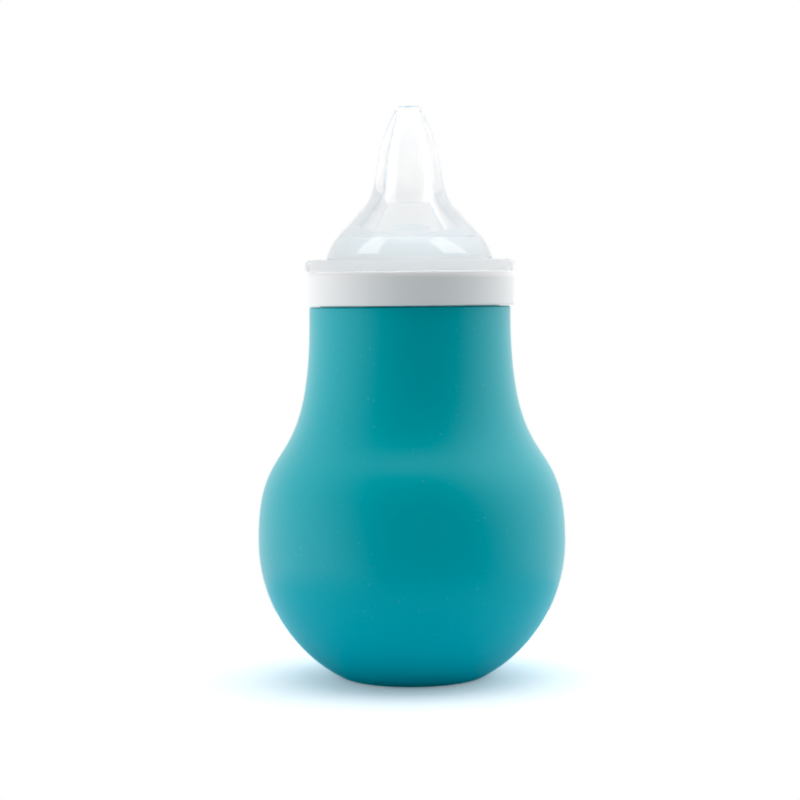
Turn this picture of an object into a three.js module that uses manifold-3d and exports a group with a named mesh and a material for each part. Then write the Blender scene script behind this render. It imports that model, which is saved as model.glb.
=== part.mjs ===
// A hand-squeezed nasal aspirator for babies, in millimetres, +Z up.
//
// The soft bulb stands on its flat base at z = 0. A rigid neck insert is pressed into its mouth. The clear
// soft nozzle plugs over the insert's spout, and its bead is clamped by a collar that screws on the insert.
// Every piece is round about the Z axis, so each is a turned outline, and the screw threads are added to it.

import * as THREE from "three";
import { mergeVertices } from "three/addons/utils/BufferGeometryUtils.js";
import Module from "manifold-3d";

const wasm = await Module();
wasm.setup();

// Driving dimensions. -----------------------------------------------------------------------------------

const FACETS = 40; // flat sides round each turned piece
const RUNNING_GAP = 0.2; // between pieces that turn or slide on each other
const SEAT_GAP = 0.1; // between faces that rest on each other
const TURN = 2 * Math.PI;

// Squeeze bulb: a ball with a flat foot that sweeps up into a wide straight neck.
const BELLY_RADIUS = 27.8;
const BELLY_HEIGHT = 24.7; // the ball's centre above the foot
const FOOT_FILLET = 3.4;
const NECK_RADIUS = 18.15;
const RIM_HEIGHT = 67.1;
const SHOULDER_FULLNESS = 20.8; // how far the ball's upright side runs on before it turns in
const NECK_STRAIGHTNESS = 32.1; // how far the neck's upright side runs down before it turns out
const BULB_WALL = 2.4;
const RIM_CHAMFER = 0.25;

// Everything above the bulb is measured up from its rim.
// Neck insert: a tube with a barb below the rim, a threaded seat for the collar above it, and a spout inside.
const INSERT_DEPTH = 12.5;
const INSERT_WALL = 2;
const INSERT_LEAD_IN = 0.5; // chamfer at the tube's lower edge
const BARB_HEIGHT = 0.9;
const BARB_TOP = -6.9;
const BARB_LENGTH = 2;
const BARB_SHOULDER = 0.2; // the barb's steep upper side
const FLANGE_RADIUS = 17.1;
const FLANGE_THICKNESS = 0.85;
const SEAT_HEIGHT = 4.5; // top of the threaded wall
const SEAT_WALL = 1.8;
const DECK_HEIGHT = 3.5; // the face that the nozzle's bead seals on
const DECK_THICKNESS = 2;
const SPOUT_RADIUS = 11.3;
const SPOUT_WALL = 2.1;
const SPOUT_TOP = 11.75;
const SPOUT_ROOF = 1.8; // thickness of the inward lip at its top
const SPOUT_HOLE_RADIUS = 4; // inside that lip
const SPOUT_CHAMFER = 0.4;

// Screw thread between the insert and the collar: right-handed, one start.
const THREAD_LEAD = 2;
const THREAD_CORE_RADIUS = 16.2;
const THREAD_DEPTH = 0.9;
const THREAD_ROOT_HALF_WIDTH = 0.5;
const THREAD_CREST_HALF_WIDTH = 0.22;
const THREAD_BURIED = 0.3; // how far a ridge reaches into the wall behind it
const INSERT_THREAD_START = 0.55;
const INSERT_THREAD_TURNS = 1.65;
const COLLAR_THREAD_START = 0.75;
const COLLAR_THREAD_TURNS = 1.65;

// Collar ring: a smooth nut with an inward lip at its top.
const COLLAR_RADIUS = 18.9;
const COLLAR_BOTTOM = 0.2;
const COLLAR_TOP = 6.25;
const COLLAR_TOP_ROUNDING = 0.8;
const COLLAR_BOTTOM_CHAMFER = 0.35;
const LIP_THICKNESS = 1.55;

// Nozzle: a skirt with a bead, a flange that covers the collar, a dome, and a slender tip.
const BEAD_RADIUS = 14.1;
const BEAD_THICKNESS = 1;
const BEAD_CHAMFER = 0.3;
const SKIRT_RADIUS = 13.3;
const NOZZLE_FLANGE_RADIUS = 18.95;
const NOZZLE_FLANGE_TOP = 8.4;
const NOZZLE_FLANGE_ROUNDING = 0.45;
const CAVITY_RADIUS = 6.8; // where the dome's cavity meets the top of the spout
const TIP_TOP = 35.9;
const ORIFICE_RADIUS = 1.3;
const ORIFICE_CHAMFER = 0.35; // across the lip's flat end, down into the orifice

// The nozzle's curves run through these points. "before" and "after" are how far the Bezier handles of the
// curves that reach and leave a point stand off from it.
const NOZZLE_OUTSIDE = [
  { radius: 15.05, height: NOZZLE_FLANGE_TOP, after: [-0.95, 4.3], steps: 7 }, // dome foot
  { radius: 9.1, height: 16.9, before: [1.85, -2.75], after: [-0.3, 0.45], steps: 5 }, // dome top
  { radius: 6.05, height: 23.2, before: [0.8, -5.1], after: [-0.65, 4.2], steps: 7 }, // waist
  { radius: 2.54, height: 35, before: [2.55, -4.95], after: [-0.2, 0.45], steps: 3 }, // lip
  { radius: 2.12, height: TIP_TOP, before: [0.12, 0] }, // end
];
const NOZZLE_INSIDE = [
  { radius: ORIFICE_RADIUS, height: 34.9, after: [1.1, -4.2], steps: 5 }, // orifice
  { radius: 3.2, height: 20.6, before: [-0.2, 3.5], after: [0.1, -2.2], steps: 5 }, // throat
  { radius: CAVITY_RADIUS, height: SPOUT_TOP + SEAT_GAP, before: [-1.5, 1.9] }, // cavity
];

// Outlines and solids. ----------------------------------------------------------------------------------

const at = (radius, height) => new THREE.Vector2(radius, height);

// Points of a circular arc about (radius, height), from one angle to the other, both in radians.
function arc(radius, height, size, from, to, steps) {
  return new THREE.EllipseCurve(radius, height, size, size, from, to, from > to).getPoints(steps);
}

function sweep(start, startPull, endPull, end, steps) {
  return new THREE.CubicBezierCurve(start, startPull, endPull, end).getPoints(steps);
}

// Points of the curves through a list of waypoints with pulls.
function curveThrough(waypoints) {
  const points = [];
  for (let i = 1; i < waypoints.length; i++) {
    const [from, to] = [waypoints[i - 1], waypoints[i]];
    points.push(
      ...sweep(
        at(from.radius, from.height),
        at(from.radius + from.after[0], from.height + from.after[1]),
        at(to.radius + to.before[0], to.height + to.before[1]),
        at(to.radius, to.height),
        from.steps,
      ),
    );
  }
  return points;
}

// One outline from points and lists of points, without its repeated neighbours.
function outline(...parts) {
  const points = parts.flat();
  return points.filter((point, i) => i === 0 || point.distanceTo(points[i - 1]) > 1e-3);
}

// Turns an outline of (radius, height) points about the Z axis.
function turned(points) {
  return new THREE.LatheGeometry(points, FACETS).rotateX(Math.PI / 2);
}

// An outline that closes on itself, for a ring.
function turnedRing(points) {
  return turned([...points, points[0].clone()]);
}

function toSolid(geometry) {
  const bare = geometry.clone();
  bare.deleteAttribute("normal");
  bare.deleteAttribute("uv");
  const merged = mergeVertices(bare, 1e-4);
  const mesh = new wasm.Mesh({
    numProp: 3,
    vertProperties: merged.attributes.position.array,
    triVerts: new Uint32Array(merged.index.array),
  });
  return new wasm.Manifold(mesh);
}

function toGeometry(solid) {
  const mesh = solid.getMesh();
  const geometry = new THREE.BufferGeometry();
  geometry.setAttribute("position", new THREE.BufferAttribute(mesh.vertProperties, 3));
  geometry.setIndex(new THREE.BufferAttribute(mesh.triVerts, 1));
  geometry.computeVertexNormals();
  return geometry;
}

// One ridge of a right-handed thread. The ridge stands from rootRadius to crestRadius, outwards or inwards,
// and reaches a little into the wall behind it so that the two join. It is extruded straight along Z, and
// then Z becomes the angle round the axis, counted down so that the faces keep pointing out.
function threadRidge(rootRadius, crestRadius, startHeight, startAngle, turns) {
  const outwards = Math.sign(crestRadius - rootRadius);
  const buried = rootRadius - outwards * THREAD_BURIED;
  const profile = [
    at(buried, -THREAD_ROOT_HALF_WIDTH),
    at(rootRadius, -THREAD_ROOT_HALF_WIDTH),
    at(crestRadius, -THREAD_CREST_HALF_WIDTH),
    at(crestRadius, THREAD_CREST_HALF_WIDTH),
    at(rootRadius, THREAD_ROOT_HALF_WIDTH),
    at(buried, THREAD_ROOT_HALF_WIDTH),
  ];
  const length = turns * TURN;
  const ridge = new THREE.ExtrudeGeometry(new THREE.Shape(profile), {
    depth: length,
    steps: Math.round(turns * FACETS),
    bevelEnabled: false,
  });
  const position = ridge.attributes.position;
  for (let i = 0; i < position.count; i++) {
    const radius = position.getX(i);
    const along = length - position.getZ(i);
    const angle = startAngle + along;
    const height = startHeight + position.getY(i) + (THREAD_LEAD * along) / TURN;
    position.setXYZ(i, radius * Math.cos(angle), radius * Math.sin(angle), height);
  }
  return ridge;
}

// Pieces. -----------------------------------------------------------------------------------------------

const boreRadius = NECK_RADIUS - BULB_WALL;
const tubeRadius = boreRadius - SEAT_GAP;
const threadCrestRadius = THREAD_CORE_RADIUS + THREAD_DEPTH;
const lipBoreRadius = SKIRT_RADIUS + RUNNING_GAP;
const lipUnderside = COLLAR_TOP - LIP_THICKNESS;

// The ball, its foot and its shoulder, drawn in by a wall thickness for the inner skin.
function bulbSkin(inset, topHeight, steps) {
  const belly = BELLY_RADIUS - inset;
  const fillet = FOOT_FILLET - inset / 2;
  const rise = BELLY_HEIGHT - inset - fillet;
  const footRadius = Math.sqrt((belly - fillet) ** 2 - rise ** 2);
  const footAngle = -Math.asin(rise / (belly - fillet));
  const neck = NECK_RADIUS - inset;
  return [
    at(0, inset),
    ...arc(footRadius, inset + fillet, fillet, -Math.PI / 2, footAngle, 3),
    ...arc(0, BELLY_HEIGHT, belly, footAngle, 0, steps),
    ...sweep(
      at(belly, BELLY_HEIGHT),
      at(belly, BELLY_HEIGHT + SHOULDER_FULLNESS),
      at(neck, RIM_HEIGHT - NECK_STRAIGHTNESS),
      at(neck, topHeight),
      steps,
    ),
  ];
}

function squeezeBulb() {
  const barbTop = RIM_HEIGHT + BARB_TOP;
  const grooveRadius = boreRadius + BARB_HEIGHT;
  const rebateRadius = FLANGE_RADIUS + SEAT_GAP;
  const rebateFloor = RIM_HEIGHT - FLANGE_THICKNESS - SEAT_GAP;
  const socketFloor = RIM_HEIGHT - INSERT_DEPTH - BULB_WALL;
  const points = outline(
    bulbSkin(0, RIM_HEIGHT - RIM_CHAMFER, 10),
    at(NECK_RADIUS - RIM_CHAMFER, RIM_HEIGHT),
    at(rebateRadius, RIM_HEIGHT),
    at(rebateRadius, rebateFloor),
    at(boreRadius, rebateFloor),
    at(boreRadius, barbTop + SEAT_GAP),
    at(grooveRadius, barbTop + SEAT_GAP),
    at(grooveRadius, barbTop - BARB_SHOULDER - SEAT_GAP),
    at(boreRadius, barbTop - BARB_LENGTH - SEAT_GAP),
    bulbSkin(BULB_WALL, socketFloor, 7).reverse(),
  );
  return turned(points);
}

function neckInsert() {
  const boreOfTube = tubeRadius - INSERT_WALL;
  const deckUnderside = DECK_HEIGHT - DECK_THICKNESS;
  const spoutBore = SPOUT_RADIUS - SPOUT_WALL;
  const body = turnedRing(
    outline(
      at(boreOfTube, -INSERT_DEPTH),
      at(tubeRadius - INSERT_LEAD_IN, -INSERT_DEPTH),
      at(tubeRadius, -INSERT_DEPTH + INSERT_LEAD_IN),
      at(tubeRadius, BARB_TOP - BARB_LENGTH),
      at(tubeRadius + BARB_HEIGHT, BARB_TOP - BARB_SHOULDER),
      at(tubeRadius, BARB_TOP),
      at(tubeRadius, -FLANGE_THICKNESS),
      at(FLANGE_RADIUS, -FLANGE_THICKNESS),
      at(FLANGE_RADIUS, 0),
      at(THREAD_CORE_RADIUS, 0),
      at(THREAD_CORE_RADIUS, SEAT_HEIGHT),
      at(THREAD_CORE_RADIUS - SEAT_WALL, SEAT_HEIGHT),
      at(THREAD_CORE_RADIUS - SEAT_WALL, DECK_HEIGHT),
      at(SPOUT_RADIUS, DECK_HEIGHT),
      at(SPOUT_RADIUS, SPOUT_TOP - SPOUT_CHAMFER),
      at(SPOUT_RADIUS - SPOUT_CHAMFER, SPOUT_TOP),
      at(SPOUT_HOLE_RADIUS, SPOUT_TOP),
      at(SPOUT_HOLE_RADIUS, SPOUT_TOP - SPOUT_ROOF),
      at(spoutBore, SPOUT_TOP - SPOUT_ROOF),
      at(spoutBore, deckUnderside),
      at(boreOfTube, deckUnderside),
    ),
  );
  const ridge = threadRidge(
    THREAD_CORE_RADIUS,
    threadCrestRadius,
    INSERT_THREAD_START,
    0,
    INSERT_THREAD_TURNS,
  );
  return toGeometry(toSolid(body).add(toSolid(ridge)));
}

// The collar's ridge lies half a lead below the insert's at the same angle, which sets where it starts.
function collarRing() {
  const rootRadius = threadCrestRadius + RUNNING_GAP;
  const crestRadius = THREAD_CORE_RADIUS + RUNNING_GAP;
  const rise = COLLAR_THREAD_START - INSERT_THREAD_START + THREAD_LEAD / 2;
  const startAngle = (TURN * rise) / THREAD_LEAD;
  const body = turnedRing(
    outline(
      at(rootRadius, COLLAR_BOTTOM),
      at(COLLAR_RADIUS - COLLAR_BOTTOM_CHAMFER, COLLAR_BOTTOM),
      at(COLLAR_RADIUS, COLLAR_BOTTOM + COLLAR_BOTTOM_CHAMFER),
      arc(
        COLLAR_RADIUS - COLLAR_TOP_ROUNDING,
        COLLAR_TOP - COLLAR_TOP_ROUNDING,
        COLLAR_TOP_ROUNDING,
        0,
        Math.PI / 2,
        4,
      ),
      at(lipBoreRadius, COLLAR_TOP),
      at(lipBoreRadius, lipUnderside),
      at(rootRadius, lipUnderside),
    ),
  );
  const ridge = threadRidge(
    rootRadius,
    crestRadius,
    COLLAR_THREAD_START,
    startAngle,
    COLLAR_THREAD_TURNS,
  );
  return toGeometry(toSolid(body).add(toSolid(ridge)));
}

function nozzle() {
  const socketRadius = SPOUT_RADIUS + RUNNING_GAP;
  const socketTop = SPOUT_TOP + SEAT_GAP;
  const beadBottom = DECK_HEIGHT + SEAT_GAP;
  const beadTop = beadBottom + BEAD_THICKNESS;
  const flangeUnderside = COLLAR_TOP + SEAT_GAP;
  const skirtAndFlange = [
    at(socketRadius, beadBottom),
    at(BEAD_RADIUS - BEAD_CHAMFER, beadBottom),
    at(BEAD_RADIUS, beadBottom + BEAD_CHAMFER),
    at(BEAD_RADIUS, beadTop),
    at(SKIRT_RADIUS, beadTop),
    at(SKIRT_RADIUS, flangeUnderside),
    at(NOZZLE_FLANGE_RADIUS, flangeUnderside),
    ...arc(
      NOZZLE_FLANGE_RADIUS - NOZZLE_FLANGE_ROUNDING,
      NOZZLE_FLANGE_TOP - NOZZLE_FLANGE_ROUNDING,
      NOZZLE_FLANGE_ROUNDING,
      0,
      Math.PI / 2,
      3,
    ),
  ];
  return turnedRing(
    outline(
      skirtAndFlange,
      curveThrough(NOZZLE_OUTSIDE),
      at(ORIFICE_RADIUS, TIP_TOP - ORIFICE_CHAMFER),
      curveThrough(NOZZLE_INSIDE),
      at(socketRadius, socketTop),
    ),
  );
}

// Materials and assembly. -------------------------------------------------------------------------------

const materials = {
  softTeal: new THREE.MeshStandardMaterial({ color: 0x0c8e9c, roughness: 0.62, metalness: 0 }),
  whitePlastic: new THREE.MeshStandardMaterial({ color: 0xe6e6e7, roughness: 0.45, metalness: 0 }),
  clearSilicone: new THREE.MeshStandardMaterial({
    color: 0xe4eef3,
    roughness: 0.12,
    metalness: 0,
    transparent: true,
    opacity: 0.35,
  }),
};

function piece(name, geometry, material) {
  const mesh = new THREE.Mesh(geometry, material);
  mesh.name = name;
  return mesh;
}

const head = new THREE.Group();
head.position.z = RIM_HEIGHT;
head.add(
  piece("neck_insert", neckInsert(), materials.whitePlastic),
  piece("collar_ring", collarRing(), materials.whitePlastic),
  piece("nozzle", nozzle(), materials.clearSilicone),
);

const aspirator = new THREE.Group();
aspirator.add(piece("squeeze_bulb", squeezeBulb(), materials.softTeal), head);

export default aspirator;
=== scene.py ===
"""The looks of the nasal aspirator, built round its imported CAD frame.

Every piece is turned again about the Z axis from the same outline as its CAD node, with many more sides,
rounded edges and a procedural material. Outlines are (radius, height) pairs in millimetres.
"""

import math

import bmesh
import bpy
from mathutils import Matrix, Vector


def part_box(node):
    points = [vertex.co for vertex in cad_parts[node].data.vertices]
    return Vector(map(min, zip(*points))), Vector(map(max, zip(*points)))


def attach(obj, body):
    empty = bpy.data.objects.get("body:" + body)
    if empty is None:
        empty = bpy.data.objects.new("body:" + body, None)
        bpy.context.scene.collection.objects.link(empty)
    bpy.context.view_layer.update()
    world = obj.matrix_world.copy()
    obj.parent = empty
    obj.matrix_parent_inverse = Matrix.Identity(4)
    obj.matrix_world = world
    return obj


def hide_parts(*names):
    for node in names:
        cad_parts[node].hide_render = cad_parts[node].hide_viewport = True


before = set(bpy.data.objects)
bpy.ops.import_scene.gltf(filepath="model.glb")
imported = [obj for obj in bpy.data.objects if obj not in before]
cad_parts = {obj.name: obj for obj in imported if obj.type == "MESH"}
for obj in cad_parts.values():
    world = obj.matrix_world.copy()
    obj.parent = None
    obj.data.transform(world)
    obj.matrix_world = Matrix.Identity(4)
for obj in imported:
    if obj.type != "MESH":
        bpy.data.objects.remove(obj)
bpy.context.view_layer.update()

MM = 0.001
TURN = 2 * math.pi


# How fine the meshes are. --------------------------------------------------------------------------------

SIDES = 192  # flat sides round each turned piece
CLEAR_SIDES = 320  # and round the clear one, whose refraction shows them more
FOOT_STEPS = 12
BELLY_STEPS = 40
SHOULDER_STEPS = 48
CLEAR_CURVE_STEPS = 36
CORNER_STEPS = 8
THREAD_STEPS_PER_TURN = 120
SAME_POINT = 0.001  # millimetres; points nearer than this are one
SHARP_ANGLE = 40  # degrees between faces above which an edge stays sharp
FLAT_WEIGHT = 60  # how much the large faces lead the shading

# Rounded corners.
CORNER_ROUNDNESS = 0.55  # how far the handles of a rounded corner reach towards the sharp one
CORNER_SHARE = 0.45  # the most of a side that a corner takes up
HAIR_EDGE = 0.1
CRISP_EDGE = 0.15
FINE_EDGE = 0.2
EASED_EDGE = 0.25
SOFT_EDGE = 0.3


# Sizes, in millimetres. Outer sizes come from the frame. -------------------------------------------------


def node_size(name):
    """A node's outer radius, lowest height and highest height."""
    low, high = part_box(name)
    return high.x / MM, low.z / MM, high.z / MM


BELLY_RADIUS, _, RIM = node_size("squeeze_bulb")
COLLAR_RADIUS, COLLAR_BOTTOM, COLLAR_TOP = node_size("collar_ring")
_, INSERT_BOTTOM, SPOUT_TOP = node_size("neck_insert")
FLANGE_RADIUS, BEAD_BOTTOM, TIP_TOP = node_size("nozzle")

SEAT_GAP = 0.1  # between faces that rest on each other
RUNNING_GAP = 0.2  # between pieces that turn or slide on each other

# Squeeze bulb.
BELLY_HEIGHT = 24.7
FOOT_FILLET = 3.4
NECK_RADIUS = 18.15
SHOULDER_FULLNESS = 20.8  # how far the ball's upright side runs on before it turns in
NECK_STRAIGHTNESS = 32.1  # how far the neck's upright side runs down before it turns out
RIM_BAND = 1.0  # the plain wall below the rounded rim
BULB_WALL = 2.4

# Neck insert.
BORE_RADIUS = NECK_RADIUS - BULB_WALL
TUBE_RADIUS = BORE_RADIUS - SEAT_GAP
INSERT_WALL = 2.0
INSERT_LEAD_IN = 0.5
BARB_HEIGHT = 0.9
BARB_TOP = RIM - 6.9
BARB_LENGTH = 2.0
BARB_SHOULDER = 0.2
REST_FLANGE_RADIUS = 17.1
REST_FLANGE_THICKNESS = 0.85
SEAT_TOP = RIM + 4.5
SEAT_WALL = 1.8
DECK_TOP = RIM + 3.5  # the face that the nozzle's bead seals on
DECK_THICKNESS = 2.0
SPOUT_RADIUS = 11.3
SPOUT_WALL = 2.1
SPOUT_EDGE = 0.4
SPOUT_ROOF = 1.8  # thickness of the inward lip at its top
SPOUT_HOLE_RADIUS = 4.0  # inside that lip

# Screw thread.
THREAD_LEAD = 2.0
THREAD_CORE_RADIUS = 16.2
THREAD_DEPTH = 0.9
THREAD_ROOT_HALF_WIDTH = 0.5
THREAD_CREST_HALF_WIDTH = 0.22
THREAD_BURIED = 0.3  # how far a ridge reaches into the wall behind it
THREAD_TURNS = 1.65
THREAD_RUNOUT = 0.07  # turns over which each end of a ridge sinks into its wall
THREAD_END_RISE = 0.05  # the share of a ridge's height that is left at its ends
INSERT_THREAD_START = RIM + 0.55
COLLAR_THREAD_START = RIM + 0.75

# Collar.
LIP_THICKNESS = 1.55
COLLAR_EDGE = 1.2
COLLAR_FOOT_EDGE = 0.35

# Nozzle. Its socket grips the spout, so the soft wall is in contact with it, with no air between them.
SKIRT_RADIUS = 13.3
BEAD_RADIUS = 14.1
BEAD_THICKNESS = 1.0
FLANGE_BOTTOM = COLLAR_TOP + SEAT_GAP
FLANGE_TOP = RIM + 8.4
FLANGE_EDGE = 0.45
GRIP = 0.03
SOCKET_RADIUS = SPOUT_RADIUS - GRIP
SOCKET_TOP = SPOUT_TOP - GRIP
CAVITY_RADIUS = 6.8
ORIFICE_RADIUS = 1.3
ORIFICE_EDGE = 0.35

# Each point is (radius, height) with the pulls of the curves that reach it and leave it.
NOZZLE_OUTSIDE = [
    {"at": (15.05, FLANGE_TOP), "after": (-0.95, 4.3)},  # dome foot
    {"at": (9.1, RIM + 16.9), "before": (1.85, -2.75), "after": (-0.3, 0.45)},  # dome top
    {"at": (6.05, RIM + 23.2), "before": (0.8, -5.1), "after": (-0.65, 4.2)},  # waist
    {"at": (2.54, RIM + 35), "before": (2.55, -4.95), "after": (-0.2, 0.45)},  # lip
    {"at": (2.12, TIP_TOP), "before": (0.12, 0)},  # end
]
NOZZLE_INSIDE = [
    {"at": (ORIFICE_RADIUS, RIM + 34.9), "after": (1.1, -4.2)},  # orifice
    {"at": (3.2, RIM + 20.6), "before": (-0.2, 3.5), "after": (0.1, -2.2)},  # throat
    {"at": (CAVITY_RADIUS, SOCKET_TOP), "before": (-1.5, 1.9)},  # cavity
]


# Outlines. -----------------------------------------------------------------------------------------------


def arc(centre, size, start, end, steps):
    """Points of a circular arc, from one angle to the other."""
    points = []
    for i in range(steps + 1):
        angle = start + (end - start) * i / steps
        points.append((centre[0] + size * math.cos(angle), centre[1] + size * math.sin(angle)))
    return points


def sweep(start, start_handle, end_handle, end, steps):
    """Points of a cubic Bezier curve."""
    handles = (start, start_handle, end_handle, end)
    points = []
    for i in range(steps + 1):
        t = i / steps
        s = 1 - t
        weights = (s**3, 3 * s * s * t, 3 * s * t * t, t**3)
        points.append(tuple(sum(w * h[k] for w, h in zip(weights, handles)) for k in (0, 1)))
    return points


def curve_through(waypoints):
    """Points of the curves through a list of waypoints with pulls."""
    points = []
    for near, far in zip(waypoints, waypoints[1:]):
        start, end = Vector(near["at"]), Vector(far["at"])
        leaving, reaching = start + Vector(near["after"]), end + Vector(far["before"])
        points.extend(sweep(start, leaving, reaching, end, CLEAR_CURVE_STEPS))
    return points


def corner(before, here, after, size):
    """The sharp corner at here, rounded over size along each of its sides where they are long enough."""
    here = Vector(here)
    back, ahead = Vector(before) - here, Vector(after) - here
    first = here + back.normalized() * min(size, CORNER_SHARE * back.length)
    last = here + ahead.normalized() * min(size, CORNER_SHARE * ahead.length)
    first_handle = first.lerp(here, CORNER_ROUNDNESS)
    last_handle = last.lerp(here, CORNER_ROUNDNESS)
    return sweep(first, first_handle, last_handle, last, CORNER_STEPS)


def outline(*parts):
    """One outline from its parts, in order.

    A part is a (radius, height) point, a (radius, height, size) rounded corner, or a list of points.
    """
    flat = []
    for part in parts:
        flat.extend(part if isinstance(part, list) else [part])
    points = []
    for i, part in enumerate(flat):
        if len(part) == 3:
            before, after = flat[i - 1][:2], flat[(i + 1) % len(flat)][:2]
            points.extend(corner(before, part[:2], after, part[2]))
        else:
            points.append(part)
    return [p for i, p in enumerate(points) if i == 0 or math.dist(p, points[i - 1]) > SAME_POINT]


# Meshes. -------------------------------------------------------------------------------------------------


def new_object(name, mesh):
    thing = bpy.data.objects.new(name, mesh)
    bpy.context.scene.collection.objects.link(thing)
    return thing


def to_object(name, bm):
    bmesh.ops.recalc_face_normals(bm, faces=bm.faces)
    mesh = bpy.data.meshes.new(name)
    bm.to_mesh(mesh)
    bm.free()
    return new_object(name, mesh)


def polar(radius, angle, height):
    """A place in metres, from a radius and a height in millimetres."""
    return Vector((radius * math.cos(angle), radius * math.sin(angle), height)) * MM


def spin(name, points, sides=SIDES):
    """Turns an outline about the Z axis. It starts and ends on the axis, or else it closes on itself."""
    bm = bmesh.new()
    rings = []
    for radius, height in points:
        count = sides if radius > 0 else 1
        rings.append([bm.verts.new(polar(radius, TURN * i / sides, height)) for i in range(count)])
    pairs = list(zip(rings, rings[1:]))
    if len(rings[0]) > 1:
        pairs.append((rings[-1], rings[0]))
    for low, high in pairs:
        for i in range(sides):
            j = (i + 1) % sides
            if len(low) == 1:
                bm.faces.new((low[0], high[i], high[j]))
            elif len(high) == 1:
                bm.faces.new((low[i], high[0], low[j]))
            else:
                bm.faces.new((low[i], low[j], high[j], high[i]))
    return to_object(name, bm)


def thread_ridge(root_radius, crest_radius, start_height, start_angle):
    """One ridge of a right-handed thread, a little sunk in its wall, with ends that run out into it."""
    outwards = math.copysign(1, crest_radius - root_radius)
    buried = root_radius - THREAD_BURIED * outwards
    profile = [
        (buried, -THREAD_ROOT_HALF_WIDTH),
        (root_radius, -THREAD_ROOT_HALF_WIDTH),
        (crest_radius, -THREAD_CREST_HALF_WIDTH),
        (crest_radius, THREAD_CREST_HALF_WIDTH),
        (root_radius, THREAD_ROOT_HALF_WIDTH),
        (buried, THREAD_ROOT_HALF_WIDTH),
    ]
    steps = round(THREAD_TURNS * THREAD_STEPS_PER_TURN)
    bm = bmesh.new()
    sections = []
    for i in range(steps + 1):
        turns = THREAD_TURNS * i / steps
        from_end = min(turns, THREAD_TURNS - turns) / THREAD_RUNOUT
        rise = max(math.sin(min(from_end, 1) * math.pi / 2), THREAD_END_RISE)
        section = []
        for radius, offset in profile:
            shown = buried + (radius - buried) * rise
            height = start_height + offset + THREAD_LEAD * turns
            section.append(bm.verts.new(polar(shown, start_angle + TURN * turns, height)))
        sections.append(section)
    count = len(profile)
    for near, far in zip(sections, sections[1:]):
        for k in range(count):
            bm.faces.new((near[k], near[(k + 1) % count], far[(k + 1) % count], far[k]))
    bm.faces.new(sections[0])
    bm.faces.new(sections[-1])
    return to_object("ridge", bm)


def join(body, ridge):
    """Unites a ridge with its body, as one closed mesh."""
    union = body.modifiers.new("union", "BOOLEAN")
    union.operation = "UNION"
    union.solver = "EXACT"
    union.object = ridge
    made = body.evaluated_get(bpy.context.evaluated_depsgraph_get())
    mesh = bpy.data.meshes.new_from_object(made)
    body.modifiers.clear()
    body.data = mesh
    bpy.data.objects.remove(ridge)
    return body


def smooth(piece):
    """Shades the rounded surfaces smooth and keeps the flat ones flat."""
    piece.data.shade_smooth()
    piece.data.set_sharp_from_angle(angle=math.radians(SHARP_ANGLE))
    weighted = piece.modifiers.new("flat faces lead", "WEIGHTED_NORMAL")
    weighted.keep_sharp = True
    weighted.weight = FLAT_WEIGHT


# Pieces. -------------------------------------------------------------------------------------------------


def bulb_skin(inset, top):
    """The ball, its foot and its shoulder, drawn in by a wall thickness for the inner skin."""
    belly = BELLY_RADIUS - inset
    fillet = FOOT_FILLET - inset / 2
    rise = BELLY_HEIGHT - inset - fillet
    foot_radius = math.sqrt((belly - fillet) ** 2 - rise**2)
    foot_angle = -math.asin(rise / (belly - fillet))
    neck = NECK_RADIUS - inset
    return [
        (0, inset),
        *arc((foot_radius, inset + fillet), fillet, -math.pi / 2, foot_angle, FOOT_STEPS),
        *arc((0, BELLY_HEIGHT), belly, foot_angle, 0, BELLY_STEPS),
        *sweep(
            (belly, BELLY_HEIGHT),
            (belly, BELLY_HEIGHT + SHOULDER_FULLNESS),
            (neck, RIM - NECK_STRAIGHTNESS),
            (neck, top),
            SHOULDER_STEPS,
        ),
    ]


def squeeze_bulb():
    groove = BORE_RADIUS + BARB_HEIGHT
    rebate = REST_FLANGE_RADIUS + SEAT_GAP
    rebate_floor = RIM - REST_FLANGE_THICKNESS - SEAT_GAP
    points = outline(
        bulb_skin(0, RIM - RIM_BAND),
        (NECK_RADIUS, RIM, SOFT_EDGE),
        (rebate, RIM, CRISP_EDGE),
        (rebate, rebate_floor),
        (BORE_RADIUS, rebate_floor, CRISP_EDGE),
        (BORE_RADIUS, BARB_TOP + SEAT_GAP),
        (groove, BARB_TOP + SEAT_GAP),
        (groove, BARB_TOP - BARB_SHOULDER - SEAT_GAP),
        (BORE_RADIUS, BARB_TOP - BARB_LENGTH - SEAT_GAP),
        bulb_skin(BULB_WALL, INSERT_BOTTOM - BULB_WALL)[::-1],
    )
    return spin("soft_bulb", points)


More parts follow.
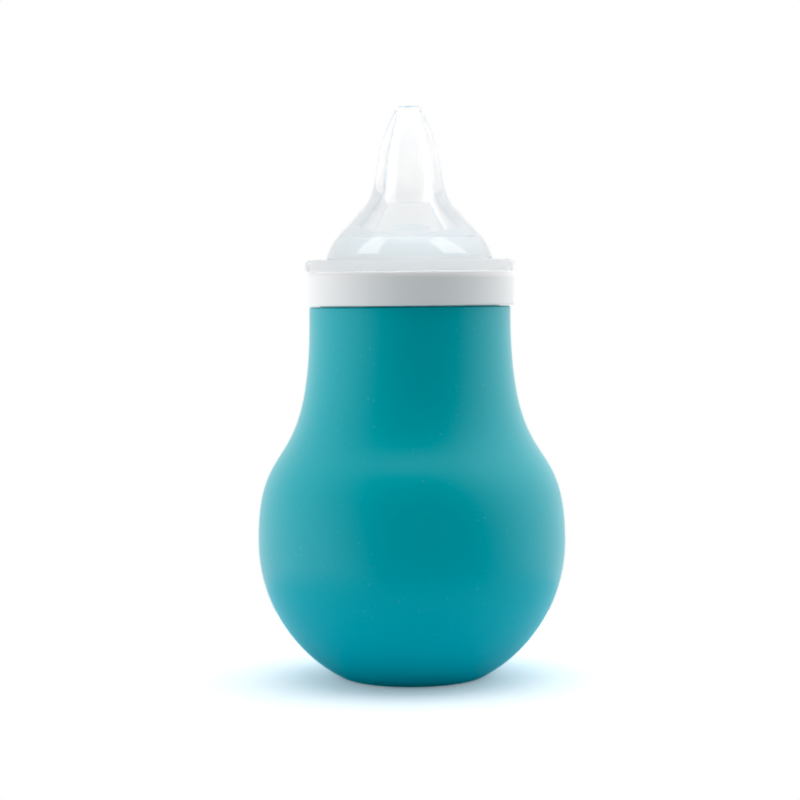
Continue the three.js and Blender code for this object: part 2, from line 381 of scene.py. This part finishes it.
def neck_insert():
    tube_bore = TUBE_RADIUS - INSERT_WALL
    deck_underside = DECK_TOP - DECK_THICKNESS
    spout_bore = SPOUT_RADIUS - SPOUT_WALL
    seat_bore = THREAD_CORE_RADIUS - SEAT_WALL
    points = outline(
        (tube_bore, INSERT_BOTTOM, SOFT_EDGE),
        (TUBE_RADIUS - INSERT_LEAD_IN, INSERT_BOTTOM, CRISP_EDGE),
        (TUBE_RADIUS, INSERT_BOTTOM + INSERT_LEAD_IN, CRISP_EDGE),
        (TUBE_RADIUS, BARB_TOP - BARB_LENGTH),
        (TUBE_RADIUS + BARB_HEIGHT, BARB_TOP - BARB_SHOULDER, HAIR_EDGE),
        (TUBE_RADIUS, BARB_TOP),
        (TUBE_RADIUS, RIM - REST_FLANGE_THICKNESS),
        (REST_FLANGE_RADIUS, RIM - REST_FLANGE_THICKNESS, CRISP_EDGE),
        (REST_FLANGE_RADIUS, RIM, FINE_EDGE),
        (THREAD_CORE_RADIUS, RIM),
        (THREAD_CORE_RADIUS, SEAT_TOP, EASED_EDGE),
        (seat_bore, SEAT_TOP, FINE_EDGE),
        (seat_bore, DECK_TOP, CRISP_EDGE),
        (SPOUT_RADIUS, DECK_TOP, FINE_EDGE),
        (SPOUT_RADIUS, SPOUT_TOP, SPOUT_EDGE),
        (SPOUT_HOLE_RADIUS, SPOUT_TOP, SPOUT_EDGE),
        (SPOUT_HOLE_RADIUS, SPOUT_TOP - SPOUT_ROOF, FINE_EDGE),
        (spout_bore, SPOUT_TOP - SPOUT_ROOF, SOFT_EDGE),
        (spout_bore, deck_underside, SOFT_EDGE),
        (tube_bore, deck_underside, SOFT_EDGE),
    )
    crest = THREAD_CORE_RADIUS + THREAD_DEPTH
    ridge = thread_ridge(THREAD_CORE_RADIUS, crest, INSERT_THREAD_START, 0)
    return join(spin("spout_insert", points), ridge)


def collar_ring():
    """Its ridge lies half a lead below the insert's at the same angle, which sets where it starts."""
    root = THREAD_CORE_RADIUS + THREAD_DEPTH + RUNNING_GAP
    crest = THREAD_CORE_RADIUS + RUNNING_GAP
    lip_bore = SKIRT_RADIUS + RUNNING_GAP
    lip_underside = COLLAR_TOP - LIP_THICKNESS
    points = outline(
        (root, COLLAR_BOTTOM, FINE_EDGE),
        (COLLAR_RADIUS, COLLAR_BOTTOM, COLLAR_FOOT_EDGE),
        (COLLAR_RADIUS, COLLAR_TOP, COLLAR_EDGE),
        (lip_bore, COLLAR_TOP, EASED_EDGE),
        (lip_bore, lip_underside, FINE_EDGE),
        (root, lip_underside, FINE_EDGE),
    )
    rise = COLLAR_THREAD_START - INSERT_THREAD_START + THREAD_LEAD / 2
    ridge = thread_ridge(root, crest, COLLAR_THREAD_START, TURN * rise / THREAD_LEAD)
    return join(spin("screw_collar", points), ridge)


def nozzle():
    bead_top = BEAD_BOTTOM + BEAD_THICKNESS
    points = outline(
        (SOCKET_RADIUS, BEAD_BOTTOM, CRISP_EDGE),
        (BEAD_RADIUS, BEAD_BOTTOM, SOFT_EDGE),
        (BEAD_RADIUS, bead_top, SOFT_EDGE),
        (SKIRT_RADIUS, bead_top, HAIR_EDGE),
        (SKIRT_RADIUS, FLANGE_BOTTOM, FINE_EDGE),
        (FLANGE_RADIUS, FLANGE_BOTTOM, FINE_EDGE),
        (FLANGE_RADIUS, FLANGE_TOP, FLANGE_EDGE),
        curve_through(NOZZLE_OUTSIDE),
        (ORIFICE_RADIUS, TIP_TOP - ORIFICE_EDGE),
        curve_through(NOZZLE_INSIDE),
        (SOCKET_RADIUS, SOCKET_TOP, HAIR_EDGE),
    )
    return spin("clear_nozzle", points, CLEAR_SIDES)


# Shader nodes. -------------------------------------------------------------------------------------------

WHITE = (1, 1, 1, 1)
UP = (0, 0, 1)


def set_input(socket, value):
    """Sets a shader socket to a value, or links it to another node's output."""
    if isinstance(value, bpy.types.NodeSocket):
        socket.id_data.links.new(value, socket)
    else:
        socket.default_value = value


class Nodes:
    """Short calls for the few shader nodes that the materials and the studio are made of."""

    def __init__(self, tree):
        tree.nodes.clear()
        self.tree = tree

    def add(self, kind, *values, **named):
        """A node with its inputs set, in their order or by name. An underscore stands for a space."""
        made = self.tree.nodes.new("ShaderNode" + kind)
        for socket, value in zip(made.inputs, values):
            set_input(socket, value)
        for name, value in named.items():
            set_input(made.inputs[name.replace("_", " ")], value)
        return made

    def shader(self, kind, *values, **named):
        return self.add(kind, *values, **named).outputs[0]

    def blend(self, share, first, second):
        """The first shader where share is 0, and the second where it is 1."""
        return self.shader("MixShader", share, first, second)

    def ray_is(self, kind):
        """1 for a ray of that kind, such as Camera, and 0 for the others."""
        return self.add("LightPath").outputs[f"Is {kind} Ray"]

    def place(self):
        """Where the point lies on the piece, in metres."""
        return self.add("TexCoord").outputs["Object"]

    def math(self, operation, *values):
        made = self.add("Math", *values)
        made.operation = operation
        return made.outputs["Value"]

    def vector(self, operation, *values):
        made = self.add("VectorMath", *values)
        made.operation = operation
        return made.outputs["Vector"]

    def dot(self, first, second):
        made = self.add("VectorMath", first, second)
        made.operation = "DOT_PRODUCT"
        return made.outputs["Value"]

    def fade(self, share, first, second):
        """The first number where share is 0, the second where it is 1, and in proportion between."""
        return self.math("MULTIPLY_ADD", share, self.math("SUBTRACT", second, first), first)

    def ramp(self, value, low, high, low_to=0.0, high_to=1.0):
        """A smooth step from low_to to high_to as value goes from low to high."""
        made = self.add("MapRange", Value=value, From_Min=low, From_Max=high, To_Min=low_to, To_Max=high_to)
        made.interpolation_type = "SMOOTHSTEP"
        return made.outputs["Result"]

    def noise(self, size_mm, detail):
        """Noise between 0 and 1 whose patches are about size_mm across, fixed to the piece."""
        made = self.add("TexNoise", Vector=self.place(), Scale=1 / (size_mm * MM), Detail=detail)
        return made.outputs["Fac"]

    def mix(self, share, first, second):
        """The first colour where share is 0, and the second where it is 1."""
        made = self.add("Mix")
        made.data_type = "RGBA"
        for name, value in {"Factor": share, "A": first, "B": second}.items():
            set_input(made.inputs[name], value)
        return made.outputs["Result"]

    def bump(self, height, depth_mm):
        return self.add("Bump", Height=height, Distance=depth_mm * MM).outputs["Normal"]


def new_material(name):
    material = bpy.data.materials.new(name)
    material.use_nodes = True
    return material, Nodes(material.node_tree)


# Materials. ----------------------------------------------------------------------------------------------


def soft_teal():
    """Moulded soft rubber: a spark-eroded satin grain, faint mottling and a few light specks."""
    material, nodes = new_material("soft teal")
    mottle = nodes.noise(size_mm=9, detail=3)
    colour = nodes.mix(mottle, (0, 0.385, 0.45, 1), (0, 0.4, 0.468, 1))
    specks = nodes.ramp(nodes.noise(size_mm=0.45, detail=1), low=0.7, high=0.78)
    colour = nodes.mix(specks, colour, (0.05, 0.45, 0.52, 1))
    grain = nodes.noise(size_mm=0.2, detail=2)
    skin = nodes.shader(
        "BsdfPrincipled",
        Base_Color=colour,
        Roughness=nodes.fade(grain, 0.3, 0.4),
        IOR=1.5,
        Specular_Tint=(0.7, 0.95, 1, 1),
        Normal=nodes.bump(grain, depth_mm=0.006),
    )
    nodes.add("OutputMaterial", Surface=skin)
    return material


def collar_white():
    """Satin moulded plastic."""
    material, nodes = new_material("collar white")
    grain = nodes.noise(size_mm=0.3, detail=2)
    mottle = nodes.noise(size_mm=6, detail=2)
    skin = nodes.shader(
        "BsdfPrincipled",
        Base_Color=nodes.mix(mottle, (0.84, 0.84, 0.845, 1), (0.86, 0.86, 0.865, 1)),
        Roughness=nodes.fade(grain, 0.34, 0.42),
        IOR=1.49,
        Normal=nodes.bump(grain, depth_mm=0.003),
    )
    nodes.add("OutputMaterial", Surface=skin)
    return material


def insert_white():
    """Smooth moulded plastic, a little blue."""
    material, nodes = new_material("insert white")
    mottle = nodes.noise(size_mm=5, detail=2)
    skin = nodes.shader(
        "BsdfPrincipled",
        Base_Color=nodes.mix(mottle, (0.645, 0.715, 0.75, 1), (0.665, 0.735, 0.77, 1)),
        Roughness=0.3,
        IOR=1.49,
        Normal=nodes.bump(nodes.noise(size_mm=0.4, detail=2), depth_mm=0.002),
    )
    nodes.add("OutputMaterial", Surface=skin)
    return material


HAZE_PER_MM = 0.16  # the silicone's slight milkiness
FLANGE_FROST = 0.3  # the flange's roughness, which ends just above it
FROST_FROM = FLANGE_TOP + 0.2
FROST_TO = FLANGE_TOP + 1.0
LINE_BLUE = (0.62, 0.8, 0.96, 1)  # the inner surfaces above the flange, where they are seen edge on
LINE_SHARE = 0.85
LINE_FACING = (0.5, 0.9)  # how edge on: 0 is seen square on, and 1 edge on
LINES_FROM = FLANGE_TOP + 0.5
LINES_TO = FLANGE_TOP + 3.0
OUTLINE_FADE = 0.9  # how far the outline fades for the camera
OUTLINE_FACING = (0.6, 0.92)


def clear_silicone():
    """Clear soft silicone: a little milky, with a moulded gloss, blue inner lines and a frosted flange."""
    material, nodes = new_material("clear silicone")
    height = nodes.dot(nodes.place(), UP)
    edge_on = nodes.add("LayerWeight").outputs["Facing"]
    seen = nodes.ray_is("Camera")
    skin = nodes.shader(
        "BsdfPrincipled",
        Base_Color=WHITE,
        Roughness=nodes.ramp(height, FROST_FROM * MM, FROST_TO * MM, FLANGE_FROST, 0),
        IOR=1.41,
        Transmission_Weight=1,
        Specular_IOR_Level=0.8,
    )
    line = nodes.math("MULTIPLY", nodes.math("SUBTRACT", 1, seen), nodes.ramp(edge_on, *LINE_FACING))
    line = nodes.math("MULTIPLY", line, nodes.ramp(height, LINES_FROM * MM, LINES_TO * MM))
    blue = nodes.shader("BsdfAnisotropic", Color=LINE_BLUE, Roughness=0)
    skin = nodes.blend(nodes.math("MULTIPLY", line, LINE_SHARE), skin, blue)
    fading = nodes.math("MULTIPLY", seen, nodes.ramp(edge_on, *OUTLINE_FACING, 0, OUTLINE_FADE))
    skin = nodes.blend(fading, skin, nodes.shader("BsdfTransparent"))
    haze = nodes.shader("VolumeScatter", Color=(0.9, 0.96, 1, 1), Density=HAZE_PER_MM / MM, Anisotropy=0.3)
    nodes.add("OutputMaterial", Surface=skin, Volume=haze)
    return material


# The studio. ---------------------------------------------------------------------------------------------

# Brightness of the white surround. Azimuths are in degrees from the camera, towards its right.
FRONT_AZIMUTH = 13  # the middle of the dim side, at eye level
FRONT_SKEW = 0.3  # how far that middle swings left with each degree of elevation
FRONT_LEVEL = 0.17
FRONT_HALF_WIDTH = 20
SIDE_AZIMUTH = 92  # from the front's middle to where the sides are at their brightest
SIDE_LEVEL = 1.5
BACK_LEVEL = 1.15
LEAN = 0.42  # how much more light comes from the upper right and the lower left
TOP_FROM = 62  # elevation, in degrees
TOP_EDGE = 7
TOP_LEVEL = 2.2
BACKDROP_LEVEL = 1.0

# The softboxes, one each side of the front's middle, which only mirror-like reflections show.
WINDOW_FROM = 48
WINDOW_TO = 92
WINDOW_FOOT = 10  # elevation of their lower edge
WINDOW_EDGE = 6
WINDOW_LEVEL = 4

# The surround as it shows through clear silicone.
THROUGH_FRONT_TO = 75
THROUGH_FRONT_LEVEL = 2.35
THROUGH_BACK_FROM = 145
THROUGH_BACK_LEVEL = 1.02


def camera_axes(nodes):
    """Level directions to the camera and to its right."""
    turn = nodes.add("VectorTransform", (0, 0, -1))
    turn.vector_type = "VECTOR"
    turn.convert_from = "CAMERA"
    turn.convert_to = "WORLD"
    to_camera = nodes.vector("NORMALIZE", nodes.vector("MULTIPLY", turn.outputs[0], (1, 1, 0)))
    return to_camera, nodes.vector("CROSS_PRODUCT", UP, to_camera)


def surround_level(nodes, off_front, right, up):
    """Brightness all round, below the top."""
    to_side = nodes.ramp(off_front, FRONT_HALF_WIDTH, SIDE_AZIMUTH, FRONT_LEVEL, SIDE_LEVEL)
    to_back = nodes.ramp(off_front, SIDE_AZIMUTH, 180, 0, SIDE_LEVEL - BACK_LEVEL)
    lean = nodes.math("MULTIPLY_ADD", nodes.math("MULTIPLY", right, up), LEAN, 1)
    return nodes.math("MULTIPLY", nodes.math("SUBTRACT", to_side, to_back), lean)


def window_level(nodes, off_front, elevation):
    """Brightness that the softboxes add."""
    from_near_edge = nodes.ramp(off_front, WINDOW_FROM, WINDOW_FROM + WINDOW_EDGE)
    past_far_edge = nodes.ramp(off_front, WINDOW_TO - WINDOW_EDGE, WINDOW_TO)
    above_foot = nodes.ramp(elevation, WINDOW_FOOT, WINDOW_FOOT + WINDOW_EDGE)
    window = nodes.math("MULTIPLY", nodes.math("SUBTRACT", from_near_edge, past_far_edge), above_foot)
    window = nodes.math("MULTIPLY", window, nodes.ray_is("Singular"))
    return nodes.math("MULTIPLY", window, WINDOW_LEVEL)


def studio_light():
    """A white surround, bright at the sides, the back and the top, and dim in front.

    It turns with the camera, so every side that is looked at is lit the same way. The camera itself sees a
    plain white backdrop in its place.
    """
    world = bpy.data.worlds.new("studio")
    world.use_nodes = True
    bpy.context.scene.world = world
    nodes = Nodes(world.node_tree)

    ray = nodes.add("TexCoord").outputs["Generated"]
    to_camera, to_right = camera_axes(nodes)
    ahead = nodes.dot(ray, to_camera)
    right = nodes.dot(ray, to_right)
    up = nodes.dot(ray, UP)
    azimuth = nodes.math("DEGREES", nodes.math("ARCTAN2", right, ahead))
    elevation = nodes.math("DEGREES", nodes.math("ARCSINE", up))
    front = nodes.math("MULTIPLY_ADD", elevation, -FRONT_SKEW, FRONT_AZIMUTH)
    off_front = nodes.math("ABSOLUTE", nodes.math("SUBTRACT", azimuth, front))

    level = surround_level(nodes, off_front, right, up)
    level = nodes.math("ADD", level, window_level(nodes, off_front, elevation))
    to_back = nodes.ramp(off_front, THROUGH_FRONT_TO, THROUGH_BACK_FROM)
    through = nodes.fade(to_back, THROUGH_FRONT_LEVEL, THROUGH_BACK_LEVEL)
    level = nodes.fade(nodes.ray_is("Transmission"), level, through)
    above = nodes.ramp(elevation, TOP_FROM - TOP_EDGE, TOP_FROM + TOP_EDGE)
    level = nodes.fade(above, level, TOP_LEVEL)

    lit = nodes.shader("Background", Color=WHITE, Strength=level)
    backdrop = nodes.shader("Background", Color=WHITE, Strength=BACKDROP_LEVEL)
    nodes.add("OutputWorld", Surface=nodes.blend(nodes.ray_is("Camera"), lit, backdrop))


# The floor is a white disc. The backdrop goes on from its edge at the same white.
FLOOR_RADIUS = 82
FLOOR_BOUNCE_PAINTED_TEAL = (0.56, 0.80, 0.90, 1)  # its white as the object sees it, dimmed and tinted teal as painted teal light bounced from the bulb
FLOOR_SEEN_WITH_PAINTED_BLUE_SHADOW = (0.88, 0.9, 0.94, 1)  # its white as the camera sees it, a little blue; the blue shows only in the shadow, as a painted blue cast there
FLOOR_PAINTED_GLOW = (0.19, 0.23, 0.25, 1)  # a painted glow, for the camera only, which lightens the shadow on the floor and tints it blue


def studio_floor():
    bm = bmesh.new()
    bmesh.ops.create_circle(bm, cap_ends=True, segments=SIDES, radius=FLOOR_RADIUS * MM)
    floor = to_object("floor", bm)
    material, nodes = new_material("studio floor")
    seen = nodes.ray_is("Camera")
    # the camera sees the floor a little blue, a painted blue cast that shows only in its shadow
    # the object sees the floor tinted teal, as painted light bounced from the bulb
    paper = nodes.shader("BsdfDiffuse", Color=nodes.mix(seen, FLOOR_BOUNCE_PAINTED_TEAL, FLOOR_SEEN_WITH_PAINTED_BLUE_SHADOW))
    # a painted glow that lightens the floor's shadow, seen by the camera only
    painted_glow = nodes.shader("Emission", Color=FLOOR_PAINTED_GLOW, Strength=seen)
    nodes.add("OutputMaterial", Surface=nodes.shader("AddShader", paper, painted_glow))
    floor.data.materials.append(material)


CAMERA_PLACE = (-1.93, -380, 69.06)
CAMERA_DOWN = 2.843  # degrees below level
CAMERA_TILT = -0.521  # degrees; below zero is clockwise for the photographer
SENSOR_WIDTH = 36
LENS = 94.5
NEAREST_VIEW = 0.01  # metres
LENS_SOFTNESS = 2.2  # width of the pixel filter, in pixels
RED_TOE = 0.016  # the camera sees less red than this as none, as in the deepest teal


def place_camera():
    """In front of the piece at the collar's height, looking a little down, with a slight tilt."""
    camera = new_object("camera", bpy.data.cameras.new("camera"))
    camera.data.sensor_width = SENSOR_WIDTH
    camera.data.lens = LENS
    camera.data.clip_start = NEAREST_VIEW
    place = Matrix.Translation(Vector(CAMERA_PLACE) * MM)
    look = Matrix.Rotation(math.radians(90 - CAMERA_DOWN), 4, "X")
    tilt = Matrix.Rotation(math.radians(CAMERA_TILT), 4, "Z")
    camera.matrix_world = place @ look @ tilt
    bpy.context.scene.camera = camera


def render_settings():
    scene = bpy.context.scene
    scene.view_settings.view_transform = "Standard"
    scene.view_settings.look = "None"
    scene.cycles.use_denoising = True
    scene.cycles.filter_width = LENS_SOFTNESS
    scene.cycles.max_bounces = 24
    scene.cycles.transmission_bounces = 20
    scene.cycles.glossy_bounces = 8
    scene.cycles.diffuse_bounces = 6
    scene.cycles.volume_bounces = 6
    scene.view_settings.use_curve_mapping = True
    curves = scene.view_settings.curve_mapping
    red = curves.curves[0]
    red.points[0].location = (RED_TOE, 0)
    curves.update()


# Assembly. -----------------------------------------------------------------------------------------------

# What makes a piece and its material, the CAD node it stands for, the body it rides on, and its record slot.
PIECES = [
    (squeeze_bulb, soft_teal, "squeeze_bulb", "bulb", "bulb_soft_teal"),
    (neck_insert, insert_white, "neck_insert", "bulb", "insert_white"),
    (collar_ring, collar_white, "collar_ring", "collar", "collar_white"),
    (nozzle, clear_silicone, "nozzle", "nozzle", "nozzle_clear_silicone"),
]

for make, look, node, body, slot in PIECES:
    piece = make()
    smooth(piece)
    piece.data.materials.append(look())
    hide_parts(node)
    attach(piece, body)

studio_light()
studio_floor()
place_camera()
render_settings()
